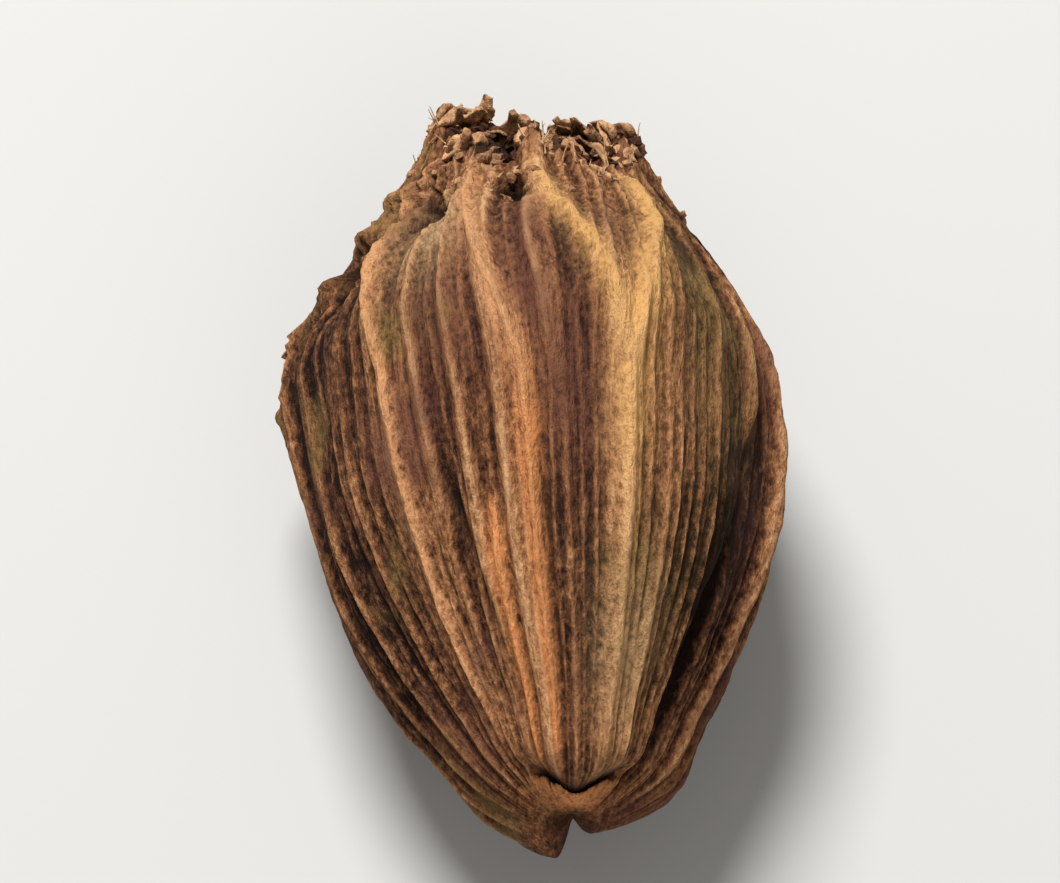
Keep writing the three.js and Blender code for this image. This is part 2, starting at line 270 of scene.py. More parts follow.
def soft_bend(square, rounding):
    return root(square + rounding * rounding) - rounding


def girth(size, along):
    broadest, rounding = size["Broadest at"], size["Collar rounding"]
    to_scar = limit((broadest - along) / broadest)
    to_collar = limit((along - broadest) / (1 - broadest))
    taper = soft_bend(to_collar * to_collar, rounding) / soft_bend(1, rounding)
    point = (1 - to_scar * to_scar) ** size["Scar pointedness"]
    return point * (1 - (1 - size["Collar share"]) * taper)


def section_radius(size, along, angle):
    across = cosine(angle) * 2 / size["Width"]
    upright = sine(angle) * 2 / size["Height"]
    swell = size["Valve swell"] + size["Valve swell at scar"] * (1 - step(*VALVE_PARTING, along))
    valves = 1 + swell * cosine(VALVES * (angle - FRONT_VALVE))
    return girth(size, along) * valves / root(across * across + upright * upright)


def swung_angle(size, along, rib):
    aside = turn(rib, RIB_PARTING.angle)
    swing = work_out("ARCTANGENT", RIB_PARTING.sharpness * aside) * bell(aside, RIB_PARTING.width)
    return rib + size["Rib spread"] * swing * step(*RIB_PARTING.stretch, along)


print(VALVES, "valves, the front one", round(math.degrees(FRONT_VALVE)), "degrees up from +X")

# %% [markdown]
# ## Even ribs
# A dried husk shrinks onto its fibres, so each bundle of fibres stands up as a rib. The even ribs
# are one raised cosine, whose spacing wanders and whose strength comes and goes. The broad, shallow
# dents under them are two waves multiplied: where both are low, the husk has sunk.

# %% Even ribs and dried dents
# Each wave: size, how many in a turn, drift along the length, phase.
RIB_WANDER = [(0.07, 2, 0, 1.1), (0.03, 5, 5, 0.0)]
RIB_STRENGTH = [(0.25, 4, 0, 0.9), (0.20, 7, -6, 2.2)]
MEAN_STRENGTH = 0.6
LEAST_STRENGTH = 0.15
RIB_SHARPNESS = 2.2
RIB_SINK = 0.33
RIBS_RISE = (0.005, 0.07)
RIBS_FLATTEN = (0.85, 1.0)
DRIED_ROUND = [(0.22, 3, 7, 0.6)]
DRIED_ALONG = [(1.0, 0, 9, 1.2)]
DRIED_STRETCH = (0.08, 0.3)


def even_ribs(size, along, rib):
    ridge = 0.5 + 0.5 * cosine(size["Rib count"] * (rib + waves(RIB_WANDER, along, rib)))
    strength = MEAN_STRENGTH + waves(RIB_STRENGTH, along, rib)
    fade = step(*RIBS_RISE, along) * (1 - 0.5 * step(*RIBS_FLATTEN, along))
    strength = work_out("MAXIMUM", strength, LEAST_STRENGTH) * fade
    return size["Rib height"] * strength * (ridge**RIB_SHARPNESS - RIB_SINK)


def dried_dents(along, angle):
    broad = waves(DRIED_ROUND, along, angle) * waves(DRIED_ALONG, along, angle)
    return broad * step(*DRIED_STRETCH, along) * (1 - step(*RIBS_FLATTEN, along))


print("a rib every", round(360 / HUSK["Rib count"], 1), "degrees")

# %% [markdown]
# ## Bold ribs and furrows
# A few ribs are bolder than the rest. The boldest is the keel of the upper valve, which forks
# towards the flower end. Each bold rib is a bell that follows a path of its own, with a narrower
# bell on top for its sharp crest. A furrow is the same bell turned downwards.

# %% Bold ribs and furrows
# Each line: degrees near the scar and near the collar, width in radians, height, start, end.
BOLD_RIBS = {
    "keel": (67, 53, 0.10, 0.50, 0.10, 0.99),
    "keel's branch": (67, 87, 0.07, 0.50, 0.60, 0.99),
    "warm rib": (96, 109, 0.06, 0.55, 0.10, 0.99),
    "short warm rib": (110, 115, 0.06, 0.45, 0.08, 0.38),
    "pale rib": (134, 147, 0.06, 0.50, 0.12, 0.95),
    "right rib": (12, 15, 0.075, 0.45, 0.10, 0.90),
    "left rib": (214, 206, 0.075, 0.45, 0.12, 0.95),
    "under rib": (322, 328, 0.075, 0.45, 0.10, 0.90),
}
FURROWS = [
    (34, 25, 0.11, -0.70, 0.06, 0.55),
    (113, 122, 0.08, -0.40, 0.06, 0.45),
    (264, 268, 0.12, -0.60, 0.06, 0.45),
]
RIB_SWING = (0.45, 1.0)
FURROW_SWING = (0.05, 0.45)
LINE_FADE = SimpleNamespace(before=0.08, after=0.04, end=0.1)
CREST = SimpleNamespace(foot=0.45, top=0.8, width=0.36)


def path(line, swing, along):
    scar, collar = math.radians(line[0]), math.radians(line[1])
    return scar + (collar - scar) * step(*swing, along)


def bold_rib(line, swing, along, rib):
    width, height, start, end = line[2:]
    offset = turn(rib, path(line, swing, along))
    ridge = CREST.foot * bell(offset, width) + CREST.top * bell(offset, CREST.width * width)
    begins = step(start - LINE_FADE.before, start + LINE_FADE.after, along)
    return height * ridge * begins * (1 - step(end - LINE_FADE.end, end, along))


print(len(BOLD_RIBS), "bold ribs and", len(FURROWS), "furrows")

# %% [markdown]
# ## Wings
# Up both shoulders runs a thin, crinkled fin, left by the ridge where two valves meet. It is a bell
# again, but its height follows a toothed wave and its line sways, and noise makes both ragged.

# %% Wings
# Each line: degrees near the scar and near the collar, width in radians, height, start, teeth.
WINGS = [(200, 144, 0.1, 1.0, 0.62, 15), (358, 352, 0.1, 0.4, 0.66, 17)]
WING_RISE = SimpleNamespace(before=0.08, after=0.06)
WING_SINK = (0.9, 1.0)
WING_SINK_SHARE = 0.4
WING_TOOTH = 0.28
WING_SWAY = 0.06
WING_SWAY_WAVES = 2.3
RAGGED = SimpleNamespace(sway=0.25, tooth=1.2)


def wing(line, along, angle, ragged):
    width, height, start, teeth = line[2:]
    sway = WING_SWAY * sine(teeth * WING_SWAY_WAVES * along) + RAGGED.sway * ragged
    edge = 1 - WING_TOOTH + WING_TOOTH * sine(2 * math.pi * teeth * along) + RAGGED.tooth * ragged
    rise = step(start - WING_RISE.before, start + WING_RISE.after, along)
    sink = 1 - WING_SINK_SHARE * step(*WING_SINK, along)
    offset = turn(angle, path(line, RIB_SWING, along)) + sway
    return height * edge * rise * sink * bell(offset, width)


print("wings", [line[3] for line in WINGS], "mm high")

# %% [markdown]
# ## Crevices
# Beside the larger wing the husk has torn into three crevices, and in the fork of the keel it has
# sunk. Such a dent is a bell both along and round the pod. The ends of two valves are the opposite
# of a dent: the right one is rounded, and the upper one is a tongue that hangs over the scar.

# %% Crevices, fork and the ends of the valves
# Each dent: place along, spread along, degrees, half width in degrees, depth.
CREVICES = [(0.75, 0.05, 157, 6, 1.6), (0.836, 0.05, 136, 7, 1.6), (0.90, 0.04, 103, 9, 1.4)]
FORK = (0.8, 0.1, 63, 7, 0.5)
TONGUE = (0.058, 0.034, 78, 42, 0.55)
TONGUE_OVERHANG = 1.0
ROUNDED_END = (0.075, 0.05, 345, 32, 0.9)


def beside(angle, degrees, half_width):
    return bell(turn(angle, math.radians(degrees)), math.radians(half_width))


def dent(line, along, angle):
    place, spread, degrees, half_width, depth = line
    return depth * beside(angle, degrees, half_width) * bell(along - place, spread)


print(len(CREVICES), "crevices, the deepest", max(line[4] for line in CREVICES), "mm deep")

# %% [markdown]
# ## The slit at the scar
# Under the tongue the husk gapes as a dark slit, and the two lower valves reach past it as lips with
# a notch between them. The slit has steep sides, so it is made of steps. It curls up at its ends, so
# near the scar the rings of the mesh are made to curl with it.

# %% Slit and lips
SLIT = SimpleNamespace(start=0.03, end=0.042, edge=0.006, degrees=84, half_width=42, depth=1.3)
SLIT_CURL = 0.016
CURL_RISE = (0.012, 0.03)
CURL_FALL = (0.05, 0.25)
# Each lip, and the notch: degrees, half width in degrees, reach.
LIPS = [(221, 38, 1.6), (342, 36, 0.5), (280, 15, -0.6)]
LIP_STRETCH = (0.01, 0.13)


def beside_slit(angle):
    return turn(angle, math.radians(SLIT.degrees)) / math.radians(SLIT.half_width)


def curl(place, angle):
    aside = beside_slit(angle)
    near = step(*CURL_RISE, place) * (1 - step(*CURL_FALL, place))
    return SLIT_CURL * near * math.e * aside * aside * bell(aside, 1.0)


def slit(place, angle):
    aside = beside_slit(angle)
    begins = step(SLIT.start - SLIT.edge, SLIT.start + SLIT.edge, place)
    ends = step(SLIT.end, SLIT.end + SLIT.edge, place)
    return SLIT.depth * bell(aside * aside, 1.0) * begins * (1 - ends)


def lip_reach(along, angle):
    reach = sum(far * beside(angle, degrees, half_width) for degrees, half_width, far in LIPS)
    return reach * (1 - step(*LIP_STRETCH, along))


print("the slit begins", round(SLIT.start * HUSK["Length"], 1), "mm from the end of the axis")

# %% [markdown]
# ## What is finer than the solid
# Between the ribs run finer lines, three and five to a rib, and the skin over them has crinkled as
# it dried. The crinkles are noise that is stretched along the fibres. Towards the collar the husk
# is crumpled instead, with no direction to it. A crease is where noise crosses zero.

# %% Fine lines, crinkles and crumples
# Each set of fine lines: how many to a rib, share of the height.
FINE_LINES = [(3, 1.0), (5, 0.45)]
FINE_SHARPNESS = 3
FINE_SINK = 0.35
FINE_WANDER = 0.05
FINE_STRENGTH = SimpleNamespace(mean=0.45, swing=1.8)
FINE_RISE = (0.005, 0.06)
CREASE_TOP = 0.25
LENGTHWISE_SHARE = 0.6
CRINKLE_RISE = (0.0, 0.035)
CRUMPLED = (0.76, 0.97)


def fine_lines(size, along, rib, grain):
    swing = FINE_STRENGTH.swing * lumps(grain, 2.0, 7.0, size["Seed"] + 1, 2.0, 0.5)
    strength = limit(FINE_STRENGTH.mean + swing)
    ridges = 0
    for count, share in FINE_LINES:
        ridge = 0.5 + 0.5 * cosine(count * size["Rib count"] * (rib + FINE_WANDER * sine(3 * rib + count)))
        ridges = ridges + share * (ridge**FINE_SHARPNESS - FINE_SINK)
    return size["Fine line height"] * ridges * strength * step(*FINE_RISE, along)


def creases(place, wide, long, seed):
    return CREASE_TOP - work_out("ABSOLUTE", lumps(place, wide, long, seed))


def crinkles(size, along, grain):
    lengthwise = creases(grain, 1.1, 5.0, size["Seed"] + 2)
    swellings = lumps(grain, 1.25, 1.25, size["Seed"] + 3, 4.0)
    relief = LENGTHWISE_SHARE * lengthwise + (1 - LENGTHWISE_SHARE) * swellings
    return size["Crinkle height"] * relief * step(*CRINKLE_RISE, along)


def crumples(size, along, grain):
    return size["Crumple height"] * creases(grain, 1.8, 2.2, size["Seed"] + 4) * step(*CRUMPLED, along)


print("fine lines:", [count * HUSK["Rib count"] for count, share in FINE_LINES], "in a turn")

# %% [markdown]
# ## Trees with named sizes
# Each piece grows from a tree of its own. Its sizes are the tree's named inputs, so the modifier
# panel shows them and they can be tried out there. The grown mesh is then made plain: an object
# that still carried the modifier would be worked out again at every step that follows.


# %% Start and end a tree
def new_tree(name, sizes):
    tree = bpy.data.node_groups.new(name, "GeometryNodeTree")
    for label, value in sizes.items():
        kind = "NodeSocketObject" if isinstance(value, bpy.types.Object) else "NodeSocketFloat"
        tree.interface.new_socket(name=label, in_out="INPUT", socket_type=kind)
    tree.interface.new_socket(name="Mesh", in_out="OUTPUT", socket_type="NodeSocketGeometry")
    entry = tree.nodes.new("NodeGroupInput")
    return tree, {label: Sum(entry.outputs[label]) for label in sizes}


def real(mesh):
    return result(mesh.tree, "GeometryNodeRealizeInstances", {0: mesh})


def end_tree(mesh, material):
    feeds = {"Geometry": real(mesh), "Material": material}
    finished = result(mesh.tree, "GeometryNodeSetMaterial", feeds)
    add_node(mesh.tree, "NodeGroupOutput", {0: finished})
    return mesh.tree


print("the husk's tree will have", len(HUSK), "named sizes")


# %% Grow a piece
def grow(name, tree, sizes):
    blank = bpy.data.objects.new(name + "_blank", bpy.data.meshes.new(name + "_blank"))
    bpy.context.scene.collection.objects.link(blank)
    rule = blank.modifiers.new("rule", "NODES")
    rule.node_group = tree
    for item in tree.interface.items_tree:
        if item.in_out == "INPUT":
            value = sizes[item.name]
            rule[item.identifier] = value if isinstance(value, bpy.types.Object) else float(value)
    evaluated = blank.evaluated_get(bpy.context.evaluated_depsgraph_get())
    mesh = bpy.data.meshes.new_from_object(evaluated)
    bpy.data.objects.remove(blank)
    piece = bpy.data.objects.new(name, mesh)
    bpy.context.scene.collection.objects.link(piece)
    mesh.calc_loop_triangles()
    print(name, "has", len(mesh.loop_triangles), "triangles from", len(tree.nodes), "nodes")
    return piece


print("a grown piece keeps its mesh and no modifier")

# %% [markdown]
# ## The husk's blank
# A cylinder is already closed and has no seam, so it is the blank: its height becomes the place
# along the pod, its angle becomes the rib's angle, and the rings in its two caps become the scar
# and the hollow inside the collar. Rings are drawn together towards both ends, where the form
# bends most. The grain is a place on a straightened pod, so that noise on it follows the ribs.

# %% Read the blank
BLANK = {"Vertices": 470, "Side Segments": 180, "Fill Segments": 10, "Radius": 1.0, "Depth": 1.0}
RING_EASING = 0.55
CAP_MARGIN = 0.00001
GRAIN_GIRTH = 0.3


def position(tree):
    return result(tree, "GeometryNodeInputPosition")


def read_blank(tree, size):
    across, deep, height = parts(position(tree))
    height = height + 0.5
    rib = work_out("ARCTAN2", deep, across)
    scar_share = 2 * size["Scar radius"] / size["Width"]
    start = size["Broadest at"] * (1 - root(1 - scar_share ** (1 / size["Scar pointedness"])))
    eased = (1 - RING_EASING) * height + RING_EASING * (0.5 - 0.5 * cosine(math.pi * height))
    place = start + (1 - start) * eased
    angle = swung_angle(size, place, rib)
    along = place + curl(place, angle)
    wide = 0.5 * size["Width"] * (GRAIN_GIRTH + (1 - GRAIN_GIRTH) * girth(size, along))
    return SimpleNamespace(
        start=start,
        place=place,
        along=along,
        rib=rib,
        angle=angle,
        share=limit(root(across * across + deep * deep)),
        top=work_out("GREATER_THAN", height, 1 - CAP_MARGIN),
        bottom=work_out("LESS_THAN", height, CAP_MARGIN),
        grain=vector(tree, wide * cosine(rib), along * size["Length"], wide * sine(rib)),
    )


print("blank of", BLANK["Vertices"], "columns and", BLANK["Side Segments"], "rings")

# %% [markdown]
# ## The husk's relief
# All the ridges and hollows are worked out once, because both the shape and the finish need them:
# a rib is where the husk stands out, and also where its skin is rubbed pale.

# %% Relief of the husk
KEEL_FADE = (0.25, 0.6)
TORN_ALONG = 0.14
TORN_ROUND = 0.5
SLIT_WAVER = 0.014
BROKEN = 0.9
KEEL_AT_SCAR = 0.6


def husk_relief(size, at):
    seed = size["Seed"]
    wavy = at.rib + size["Rib waver"] * lumps(at.grain, 8.3, 11.0, seed + 7, 2.0, 0.5)
    broken = 1 + BROKEN * lumps(at.grain, 2.5, 2.0, seed + 5, roughness=0.5)
    ragged = lumps(at.grain, 3.3, 0.7, seed + 8)
    tear = lumps(at.grain, 1.25, 1.25, seed + 10)
    twist = lumps(at.grain, 1.4, 1.4, seed + 11)
    torn = (at.along + TORN_ALONG * tear, at.angle + TORN_ROUND * twist)
    bolds = {name: broken * bold_rib(line, RIB_SWING, at.along, wavy) for name, line in BOLD_RIBS.items()}
    bolds["keel"] = bolds["keel"] * (KEEL_AT_SCAR + (1 - KEEL_AT_SCAR) * step(*KEEL_FADE, at.along))
    return SimpleNamespace(
        bolds=bolds,
        ribs=even_ribs(size, at.along, wavy) + sum(bolds.values()),
        lines=fine_lines(size, at.along, wavy, at.grain),
        rough=crinkles(size, at.along, at.grain) + crumples(size, at.along, at.grain),
        furrows=sum(bold_rib(line, FURROW_SWING, at.along, at.rib) for line in FURROWS),
        wings=sum(wing(line, at.along, at.angle, ragged) for line in WINGS),
        gaps=sum(dent(line, *torn) for line in CREVICES) + slit(at.place + SLIT_WAVER * tear, at.angle),
        fork=dent(FORK, at.along, at.angle),
        tongue=dent(TONGUE, at.place, at.angle),
    )


print("ribs may waver by", round(math.degrees(HUSK["Rib waver"] / 2), 1), "degrees")

# %% [markdown]
# ## Where each point goes
# The rule gives every point of the blank a radius round the leaning axis and a place along it. The
# collar is cut off at a slant with a torn edge, the caps sink into the scar and into the collar's
# hollow, and the resting side is pressed flat.

# %% Place of each point
RIM_TEETH = [(1.0, 5, 0, 0.4), (0.7, 11, 0, 2.1), (0.5, 17, 0, 0.0)]
RIM_TORN = (0.93, 1.0)
COLLAR_SLANT = (0.72, 1.0)
RIM_RAGGED = SimpleNamespace(height=3.0, wide=0.83, long=1000.0)
PIT_STEEPNESS = 4
NECK = (0.6, 1.0)


def length_place(size, at, relief):
    slant = size["Collar tilt"] * sine(at.angle) + size["Collar skew"] * cosine(at.angle)
    ragged = lumps(at.grain, RIM_RAGGED.wide, RIM_RAGGED.long, size["Seed"] + 6)
    teeth = waves(RIM_TEETH, at.along, at.angle) + RIM_RAGGED.height * ragged
    rim = size["Rim tooth"] * teeth * step(*RIM_TORN, at.along) - slant * step(*COLLAR_SLANT, at.along)
    overhang = relief.tongue * (TONGUE_OVERHANG / TONGUE[-1])
    outside = size["Length"] * at.along + rim - lip_reach(at.along, at.angle) - overhang
    floor = size["Length"] - size["Pit depth"] - slant * at.share
    pit = floor + (outside - floor) * at.share**PIT_STEEPNESS
    scar = outside * at.share + (size["Length"] * at.start + size["Scar depth"]) * (1 - at.share)
    return outside + at.top * (pit - outside) + at.bottom * (scar - outside)


def husk_place(size, at, relief):
    valve_ends = relief.tongue + dent(ROUNDED_END, at.along, at.angle)
    form = section_radius(size, at.along, at.angle) + dried_dents(at.along, at.angle) + valve_ends
    proud = relief.ribs + relief.lines + relief.rough + relief.furrows + relief.wings
    radius = (form + proud - relief.gaps - relief.fork) * at.share
    lowest = size["Flat depth"] - size["Height"] / 2
    axis = size["Axis lean"] * (0.5 - at.along) + size["Neck bend"] * step(*NECK, at.along)
    x = axis + radius * cosine(at.angle) - size["Middle X"]
    y = length_place(size, at, relief) - size["Middle Y"]
    z = work_out("MAXIMUM", radius * sine(at.angle), lowest) - lowest
    return stretch(vector(at.along.tree, x, y, z), MM, MM, MM)


print("the resting side is pressed", HUSK["Flat depth"], "mm flat")

# %% [markdown]
# ## What the finish needs to know
# The tree stores a few values at every point: how high it stands on a rib, which bold rib it is on,
# how much painted shade it gets in its recesses and on its underside, where the lip's painted
# highlight goes, and where crumbs, fibres and shreds belong. A material and the later trees read
# them by name, so a finish follows the form from every side.

# %% Tinted patches
# Each patch is a dent, whose last number is the tint's strength. The last list is painted shade
# on the right flank, down the middle of the upper side and at both sides near the collar.
PATCHES = {
    "purple": [(0.50, 0.14, 84, 14, 0.9), (0.62, 0.14, 118, 12, 0.8), (0.76, 0.12, 94, 10, 0.8)],
    "olive": [(0.20, 0.12, 60, 15, 0.7), (0.60, 0.20, 40, 12, 0.7)],
    "straw": [(0.80, 0.10, 128, 12, 0.9), (0.17, 0.08, 64, 12, 0.6)],
    # Painted shade patches, darkening the husk where it lies in shade.
    "dusk": [
        (0.26, 0.16, 34, 14, 1.3),
        (0.40, 0.32, 87, 8, 0.9),
        (0.72, 0.10, 40, 10, 1.1),
        (0.86, 0.08, 12, 20, 1.3),
        (0.82, 0.08, 166, 14, 0.8),
    ],
}


def patch(name, at):
    return sum(dent(line, at.along, at.angle) for line in PATCHES[name])


print({name: len(lines) for name, lines in PATCHES.items()}, "patches")

# %% Values for the finish
HIGH = SimpleNamespace(lines=2.2, furrows=0.5, rough=0.7, middle=0.42, span=1.1)
# How much painted shade each kind of recess gets.
RECESS_SHADE = SimpleNamespace(top=0.75, bottom=0.4, fork=0.8, furrows=0.6, gaps=(0.3, 1.0))
BOLD = SimpleNamespace(keel=4.32, branch=2.16, warm=4.0, pale=3.4, pale_foot=0.6, wing=1.2)
RUBBED_KEEL = SimpleNamespace(least=0.2, stretch=(0.25, 0.5))
# Painted highlight: a narrow orange band on the lip just under the slit.
LIP_HIGHLIGHT_BAND = SimpleNamespace(rise=(0.008, 0.014), fall=(0.027, 0.03))
# Painted shade: the upper side counts as lit and the underside is darkened; the lips at the scar are spared.
PAINTED_LIT_SIDE = (0.1, 0.95)
PAINTED_LIT_SIDE_SCAR = SimpleNamespace(share=0.6, stretch=(0.04, 0.2))


# The crest value darkens valleys and creases as painted shade and pales the crests, partly rubbed skin and
# partly painted highlight.
def crest(relief):
    high = relief.ribs + HIGH.lines * relief.lines + HIGH.furrows * relief.furrows + HIGH.rough * relief.rough
    return limit(HIGH.middle + high / HIGH.span)


# Painted shade in recesses: the collar's hollow, the scar, the crevices, the slit, the keel's fork and the
# furrows.
def sunk(at, relief):
    inside = RECESS_SHADE.top * at.top + RECESS_SHADE.bottom * at.bottom
    grooves = RECESS_SHADE.fork * relief.fork - RECESS_SHADE.furrows * relief.furrows
    return limit(inside + step(*RECESS_SHADE.gaps, relief.gaps) + grooves)


def colour_values(at, relief):
    keel = BOLD.keel * relief.bolds["keel"] + BOLD.branch * relief.bolds["keel's branch"]
    rubbed = RUBBED_KEEL.least + (1 - RUBBED_KEEL.least) * step(*RUBBED_KEEL.stretch, at.along)
    warm = relief.bolds["warm rib"] + relief.bolds["short warm rib"]
    lip = step(*LIP_HIGHLIGHT_BAND.rise, at.place) * (1 - step(*LIP_HIGHLIGHT_BAND.fall, at.place))
    scar = PAINTED_LIT_SIDE_SCAR.share * (1 - step(*PAINTED_LIT_SIDE_SCAR.stretch, at.along))
    return {name: patch(name, at) for name in PATCHES} | {
        "crest": crest(relief),
        "sunk": sunk(at, relief),
        "keel": limit(keel) * rubbed,
        "glow": limit(BOLD.warm * warm),
        "band": limit(BOLD.pale * relief.bolds["pale rib"] - BOLD.pale_foot),
        "wing": limit(BOLD.wing * relief.wings),
        "lip": lip * beside(at.angle, SLIT.degrees, SLIT.half_width),
        "bleached": limit(step(*PAINTED_LIT_SIDE, sine(at.angle)) + scar),
        "along": at.along,
    }


print("the lip's band is", round((SLIT.start - LIP_HIGHLIGHT_BAND.rise[0]) * HUSK["Length"], 1), "mm wide")

# %% Values for what grows on the husk
POCKETS = (-0.05, 0.12)
CRUMBLY = (0.86, 0.98)
FRAYED = (0.95, 1.0)
RIM_MARGIN = 0.001


def growth_values(size, at):
    side = (1 - at.bottom) * (1 - at.top)
    pockets = step(*POCKETS, lumps(at.grain, 2.0, 2.0, size["Seed"] + 9, 2.0, 0.5))
    return {
        "crumbly": step(*CRUMBLY, at.along) * side * pockets,
        "hollow": at.top,
        "frayed": step(*FRAYED, at.along) * side,
        "rim": at.top * work_out("GREATER_THAN", at.share, 1 - RIM_MARGIN),
    }


print("crumbs grow on the last", round((1 - CRUMBLY[0]) * HUSK["Length"], 1), "mm of the axis")

# %% [markdown]
# ## The husk's tree
# Now the pieces of the rule are joined: read the blank, store the values, move the points, and turn
# the faces outwards. The values are stored before the points move, because they are worked out from
# where the points stand on the blank.


# %% Join the husk's tree
def store(mesh, name, value, kind="FLOAT"):
    feeds = {"Geometry": mesh, "Name": name, "Value": value}
    return result(mesh.tree, "GeometryNodeStoreNamedAttribute", feeds, data_type=kind)


def husk_tree(name, sizes, material):
    tree, size = new_tree(name, sizes)
    mesh = result(tree, "GeometryNodeMeshCylinder", BLANK, "Mesh", fill_type="TRIANGLE_FAN")
    at = read_blank(tree, size)
    relief = husk_relief(size, at)
    for label, value in (colour_values(at, relief) | growth_values(size, at)).items():
        mesh = store(mesh, label, value)
    mesh = store(mesh, "grain", at.grain, "FLOAT_VECTOR")
    feeds = {"Geometry": mesh, "Position": husk_place(size, at, relief)}
    shaped = result(tree, "GeometryNodeSetPosition", feeds)
    outward = result(tree, "GeometryNodeFlipFaces", {0: shaped})
    return end_tree(result(tree, "GeometryNodeSetShadeSmooth", {0: outward}), material)


print("the husk's blank has about", BLANK["Vertices"] * BLANK["Side Segments"] * 2, "triangles on its side")

# %% [markdown]
# ## Colours
# The skin is nearly black in the hollows, which is painted shade, brown on the sides of the ribs,
# and tan along their tops, which is partly rubbed skin and partly painted highlight. Colours are
# given as they look on a screen and turned into the linear values that Blender mixes, so that a
# half-way mix looks half-way.


# %% Colours of the pod
def linear(*screen):
    shares = [value / 255 for value in screen]
    return tuple(c / 12.92 if c < 0.04 else ((c + 0.055) / 1.055) ** 2.4 for c in shares) + (1.0,)


COLOURS = {
    "hollow": linear(30, 14, 7),
    "shade": linear(98, 61, 38),
    "brown": linear(158, 108, 70),
    "tan": linear(216, 167, 120),
    "fawn": linear(216, 154, 104),
    "gold": linear(216, 165, 100),
    "orange": linear(226, 147, 88),
    "purple": linear(98, 59, 49),
    "olive": linear(134, 106, 62),
    "straw": linear(206, 168, 122),
    "paper": linear(186, 185, 182),
}
print(len(COLOURS), "colours")


# %% Mix colours with nodes
def mix(amount, first, second):
    node = add_node(amount.tree, "ShaderNodeMix", data_type="RGBA")
    for slot, value in ((0, amount), (6, first), (7, second)):
        feed(node.inputs[slot], value)
    return Sum(node.outputs[2])


def ramp(value, stops):
    node = add_node(value.tree, "ShaderNodeValToRGB", {0: value})
    marks = node.color_ramp.elements
    while len(marks) < len(stops):
        marks.new(1.0)
    for mark, (place, colour) in zip(marks, stops):
        mark.position = place
        mark.color = COLOURS[colour]
    return Sum(node.outputs[0])


def stored(tree, name, output="Fac"):
    return result(tree, "ShaderNodeAttribute", output=output, attribute_name=name)


def new_skin(name):
    material = bpy.data.materials.new(name)
    material.use_nodes = True
    tree = material.node_tree
    place = result(tree, "ShaderNodeTexCoord", output="Object")
    return material, tree.nodes["Principled BSDF"], stretch(place, 1 / MM, 1 / MM, 1 / MM)


print("a skin reads its place in mm")

# %% [markdown]
# ## The husk's pattern
# Five noises make the skin. Fibres are thin streaks along the grain, and specks are where the skin
# has flaked. Three broad ones shift the brown towards purple, olive or a warmer brown. Specks and
# patches are read from Object coordinates, because the grain draws together at the scar.

# %% Pattern of the husk
# Each noise: width and length of a lump in mm, seed, detail, roughness.
STREAKS = (0.25, 3.3, 1.0, 4.0, 0.65)
SPOTS = {
    "specks": (0.24, 0.48, 2.0, 4.0, 0.74),
    "purple": (5.0, 10.0, 3.0, 3.0, 0.5),
    "olive": (3.8, 7.1, 9.0, 3.0, 0.5),
    "warm": (3.3, 8.3, 12.0, 3.0, 0.5),
}
STREAKS_AT_SCAR = 0.15
STREAKS_RISE = (0.03, 0.16)


def husk_pattern(place):
    along = stored(place.tree, "along")
    streaks = lumps(stored(place.tree, "grain", "Vector"), *STREAKS)
    rise = STREAKS_AT_SCAR + (1 - STREAKS_AT_SCAR) * step(*STREAKS_RISE, along)
    spots = {name: lumps(place, *noise) for name, noise in SPOTS.items()}
    return SimpleNamespace(along=along, fibres=streaks * rise, **spots)


print("specks from", SPOTS["specks"][0], "mm wide")

# %% [markdown]
# ## The husk's colour
# The height on the ribs picks the plain colour, from nearly black in the valleys, which is painted
# shade, to tan on the crests, which is partly rubbed skin and partly painted highlight. The
# underside and a few patches are darkened as painted shade. Tints lie over it in patches, the bold
# ribs are rubbed to gold, orange or fawn where specks and fibres let the pale tissue through, the
# lip under the slit gets a painted orange highlight, and every recess is painted dark as shade.

# %% Colour of the husk
# The low stops are painted shade in the valleys and creases; the top stop is rubbed skin and partly painted
# highlight.
HEIGHT_STOPS = [(0.12, "hollow"), (0.38, "shade"), (0.63, "brown"), (0.98, "tan")]
HEIGHT = SimpleNamespace(least=0.1, crest=0.82, fibres=0.9, specks=1.3, warm=0.5, underside_shade=0.24, dusk=0.25)
TINT = SimpleNamespace(purple=(0.04, 0.16), olive=(0.05, 0.18), share=0.8, most=0.8)
UNEVEN = SimpleNamespace(mean=0.6, specks=2.0)
RUBBED = SimpleNamespace(mean=0.5, specks=2.4, fibres=1.8, bold=0.25, wing=0.45, most=0.85)
GLOW = SimpleNamespace(mean=0.75, warm=3.0, end=(0.42, 0.6))
# Strength of the painted highlight on the lip.
LIP = SimpleNamespace(mean=0.7, specks=3.4)
MOST_DARK = 0.95


